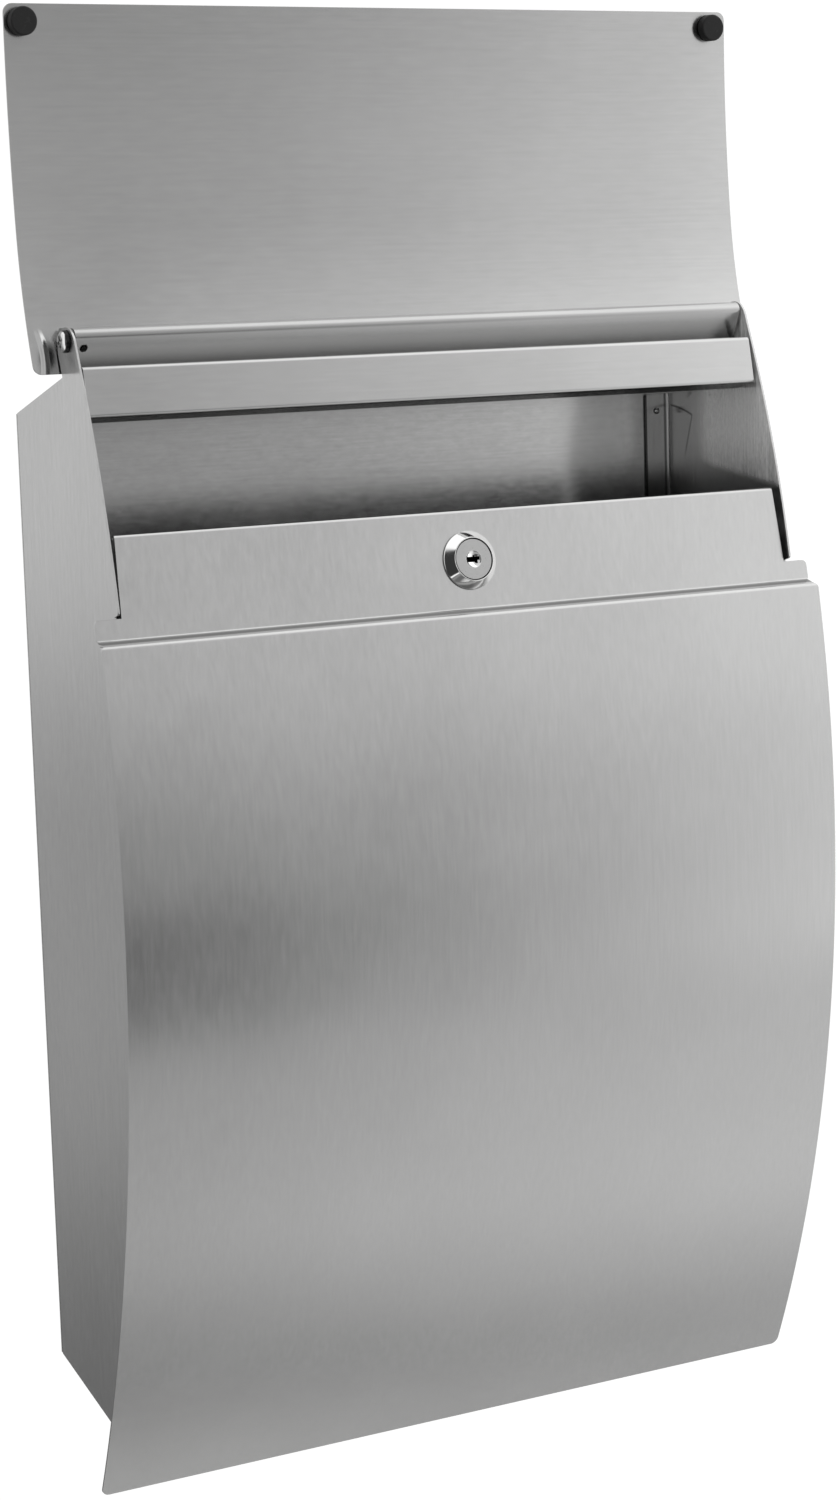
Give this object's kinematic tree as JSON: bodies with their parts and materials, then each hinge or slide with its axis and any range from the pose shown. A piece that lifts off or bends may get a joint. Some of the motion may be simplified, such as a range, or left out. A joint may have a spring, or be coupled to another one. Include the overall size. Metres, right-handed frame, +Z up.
{
  "type": "wall mounted mailbox",
  "caption": "Brushed steel wall letterbox: folded sheet body, lift-up flap over a mail slot, and a curved drop-down door with a key lock.",
  "frame": {"origin": "middle of the back panel's rear face, where it meets the wall", "axes": "+X to the viewer's right, +Y into the wall, +Z up; the front faces -Y"},
  "size_m": [0.3116, 0.102, 0.5524],
  "materials": {
    "stainless_sheet": "brushed, satin",
    "lock_chrome": "polished ring, satin plug face",
    "polished_fastener": "polished",
    "zinc_plate": "zinc plated, satin",
    "black_rubber": "matte"
  },
  "bodies": {
    "body": {"back_panel": "stainless_sheet", "floor_panel": "stainless_sheet", "roof_panel": "stainless_sheet", "lock_rail": "stainless_sheet", "left_side_panel": "stainless_sheet", "right_side_panel": "stainless_sheet", "left_flange_rivet_top": "polished_fastener", "left_flange_rivet_middle": "polished_fastener", "left_flange_rivet_bottom": "polished_fastener", "right_flange_rivet_top": "polished_fastener", "right_flange_rivet_middle": "polished_fastener", "right_flange_rivet_bottom": "polished_fastener", "left_flap_screw": "polished_fastener", "left_door_screw": "polished_fastener", "right_flap_screw": "polished_fastener", "right_door_screw": "polished_fastener", "left_flap_nut": "polished_fastener", "left_door_nut": "polished_fastener", "right_flap_nut": "polished_fastener", "right_door_nut": "polished_fastener"},
    "door": {"door_panel": "stainless_sheet", "left_door_ear": "stainless_sheet", "right_door_ear": "stainless_sheet", "lock_housing": "lock_chrome", "lock_nut": "zinc_plate"},
    "lock_core": {"lock_plug": "lock_chrome", "lock_cam": "zinc_plate", "cam_screw": "zinc_plate"},
    "flap": {"flap_plate": "stainless_sheet", "flap_hinge_channel": "stainless_sheet", "left_bumper": "black_rubber", "right_bumper": "black_rubber"}
  },
  "joints": [
    {"name": "flap_hinge", "type": "hinge", "parent": "body", "child": "flap", "pos_m": [0, -0.0514, 0.2103], "axis": [1, 0, 0], "range_deg": [0, 166.8]},
    {"name": "door_hinge", "type": "hinge", "parent": "body", "child": "door", "pos_m": [0, -0.0525, -0.2095], "axis": [1, 0, 0], "range_deg": [0, 160]},
    {"name": "lock_turn", "type": "hinge", "parent": "door", "child": "lock_core", "pos_m": [0.0006, -0.08299, 0.1231], "axis": [0, -0.9789, 0.2045], "range_deg": [0, 90]}
  ]
}
